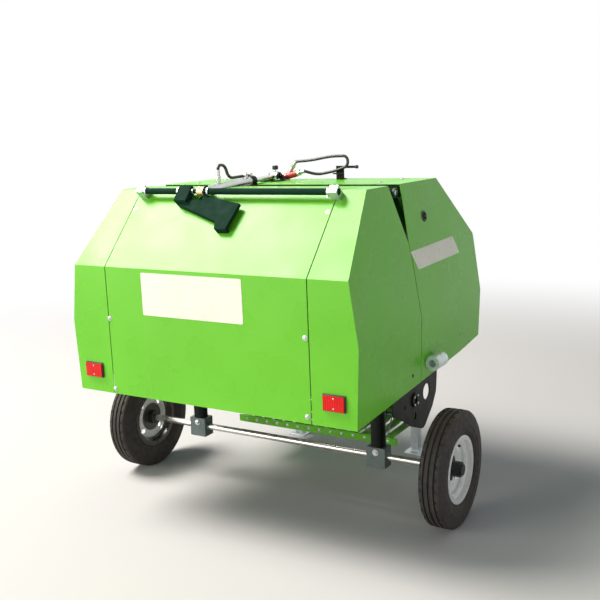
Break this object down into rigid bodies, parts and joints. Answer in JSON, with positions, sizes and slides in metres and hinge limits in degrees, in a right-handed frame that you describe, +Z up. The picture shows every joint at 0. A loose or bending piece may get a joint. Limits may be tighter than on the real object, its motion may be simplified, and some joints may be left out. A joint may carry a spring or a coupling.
{
  "type": "round baler",
  "caption": "Compact hitch-mounted round baler with a roller bale chamber, tined pickup, hydraulically lifted tailgate, carrying wheels and parking legs.",
  "frame": {"origin": "on the floor below the middle of the whole machine's outline", "axes": "+Y ahead, the way the machine is drawn by its tractor; +X its right side; +Z up"},
  "size_m": [1.59, 1.234, 1.403],
  "materials": {
    "green_paint": "gloss",
    "dark_green_paint": "satin",
    "black_paint": "satin",
    "rim_paint": "gloss",
    "hub_black": "matt",
    "galvanised_steel": "satin",
    "roller_steel": "worn",
    "tine_steel": "satin",
    "chrome_rod": "polished",
    "bright_steel": "machined",
    "cast_housing": "cast",
    "tyre_rubber": "matt",
    "hose_rubber": "matt",
    "lamp_red": "gloss"
  },
  "bodies": {
    "frame": {"axle": "galvanised_steel", "axle_clamp_left": "galvanised_steel", "axle_clamp_right": "galvanised_steel", "axle_post_left": "galvanised_steel", "axle_post_right": "galvanised_steel", "chamber_plate_left": "dark_green_paint", "chamber_plate_right": "dark_green_paint", "cross_tube_high": "dark_green_paint", "cross_tube_low": "dark_green_paint", "cylinder_bracket": "black_paint", "front_hood": "green_paint", "front_side_cover_left": "green_paint", "front_side_cover_right": "green_paint", "gearbox": "cast_housing", "hinge_lug_left": "dark_green_paint", "hinge_lug_right": "dark_green_paint", "hitch_frame": "dark_green_paint", "hose_hook": "black_paint", "latch_pot_left": "galvanised_steel", "latch_pot_right": "galvanised_steel", "loop_hose": "hose_rubber", "oil_couplings": "black_paint", "pickup_end_left": "black_paint", "pickup_end_right": "black_paint", "pickup_strippers": "green_paint"},
    "tailgate": {"tail_cover": "green_paint", "tail_hinge_arm_left": "dark_green_paint", "tail_hinge_arm_right": "dark_green_paint", "tail_lamp_left": "lamp_red", "tail_lamp_right": "lamp_red", "tail_plate_left": "dark_green_paint", "tail_plate_right": "dark_green_paint", "tail_side_cover_left": "green_paint", "tail_side_cover_right": "green_paint", "lift_bearings": "galvanised_steel", "lift_lever": "dark_green_paint", "lift_shaft": "dark_green_paint"},
    "cylinder": {"barrel_hose": "hose_rubber", "cylinder_barrel": "bright_steel"},
    "rod": {"cylinder_rod": "chrome_rod"},
    "reel": {"pickup_reel": "tine_steel"},
    "drive": {"drive_stub": "bright_steel"},
    "wheel_left": {"tyre_left": "tyre_rubber", "rim_left": "rim_paint", "hub_left": "hub_black"},
    "leg_left": {"parking_leg_left": "galvanised_steel"},
    "wheel_right": {"tyre_right": "tyre_rubber", "rim_right": "rim_paint", "hub_right": "hub_black"},
    "leg_right": {"parking_leg_right": "galvanised_steel"},
    "floor_roller": {"floor_roller": "roller_steel"},
    "front_roller_1": {"front_roller_1": "roller_steel"},
    "front_roller_2": {"front_roller_2": "roller_steel"},
    "front_roller_3": {"front_roller_3": "roller_steel"},
    "tail_roller_1": {"tail_roller_1": "roller_steel"},
    "tail_roller_2": {"tail_roller_2": "roller_steel"},
    "tail_roller_3": {"tail_roller_3": "roller_steel"},
    "tail_roller_4": {"tail_roller_4": "roller_steel"},
    "tail_roller_5": {"tail_roller_5": "roller_steel"}
  },
  "joints": [
    {"name": "tailgate_lift", "type": "hinge", "parent": "frame", "child": "tailgate", "pos_m": [0, -0.1, 1.268], "axis": [-1, 0, 0], "range_deg": [0, 70]},
    {"name": "cylinder_swing", "type": "hinge", "parent": "tailgate", "child": "cylinder", "pos_m": [-0.118, -0.4, 1.296], "axis": [1, 0, 0], "range_deg": [0, 28]},
    {"name": "rod_slide", "type": "slide", "parent": "cylinder", "child": "rod", "axis": [0, -0.9987, -0.0504], "range_m": [0, 0.1404]},
    {"name": "reel_turn", "type": "hinge", "parent": "frame", "child": "reel", "pos_m": [0, 0.34, 0.33], "axis": [1, 0, 0], "continuous": true},
    {"name": "drive_turn", "type": "hinge", "parent": "frame", "child": "drive", "pos_m": [0, 0.515, 0.79], "axis": [0, 1, 0], "continuous": true},
    {"name": "wheel_left_turn", "type": "hinge", "parent": "frame", "child": "wheel_left", "pos_m": [-0.747, -0.084, 0.226], "axis": [-1, 0, 0], "continuous": true},
    {"name": "wheel_right_turn", "type": "hinge", "parent": "frame", "child": "wheel_right", "pos_m": [0.747, -0.084, 0.226], "axis": [-1, 0, 0], "continuous": true},
    {"name": "leg_left_slide", "type": "slide", "parent": "frame", "child": "leg_left", "axis": [0, 0, 1], "range_m": [0, 0.2]},
    {"name": "leg_right_slide", "type": "slide", "parent": "frame", "child": "leg_right", "axis": [0, 0, 1], "range_m": [0, 0.2]},
    {"name": "floor_roller_turn", "type": "hinge", "parent": "frame", "child": "floor_roller", "pos_m": [0, -0.01075, 0.55993], "axis": [1, 0, 0], "continuous": true},
    {"name": "front_roller_1_turn", "type": "hinge", "parent": "frame", "child": "front_roller_1", "pos_m": [0, -0.01075, 1.14007], "axis": [1, 0, 0], "continuous": true},
    {"name": "front_roller_2_turn", "type": "hinge", "parent": "frame", "child": "front_roller_2", "pos_m": [0, 0.14175, 1.02927], "axis": [1, 0, 0], "continuous": true},
    {"name": "front_roller_3_turn", "type": "hinge", "parent": "frame", "child": "front_roller_3", "pos_m": [0, 0.2, 0.85], "axis": [1, 0, 0], "continuous": true},
    {"name": "tail_roller_1_turn", "type": "hinge", "parent": "tailgate", "child": "tail_roller_1", "pos_m": [0, -0.19925, 1.14007], "axis": [1, 0, 0], "continuous": true},
    {"name": "tail_roller_2_turn", "type": "hinge", "parent": "tailgate", "child": "tail_roller_2", "pos_m": [0, -0.35175, 1.02927], "axis": [1, 0, 0], "continuous": true},
    {"name": "tail_roller_3_turn", "type": "hinge", "parent": "tailgate", "child": "tail_roller_3", "pos_m": [0, -0.41, 0.85], "axis": [1, 0, 0], "continuous": true},
    {"name": "tail_roller_4_turn", "type": "hinge", "parent": "tailgate", "child": "tail_roller_4", "pos_m": [0, -0.35175, 0.67073], "axis": [1, 0, 0], "continuous": true},
    {"name": "tail_roller_5_turn", "type": "hinge", "parent": "tailgate", "child": "tail_roller_5", "pos_m": [0, -0.19925, 0.55993], "axis": [1, 0, 0], "continuous": true}
  ],
  "couplings": [
    {"joint": "cylinder_swing", "follows": "tailgate_lift", "ratio": 0.39886},
    {"joint": "rod_slide", "follows": "tailgate_lift", "m_per_rad": 0.11445}
  ]
}
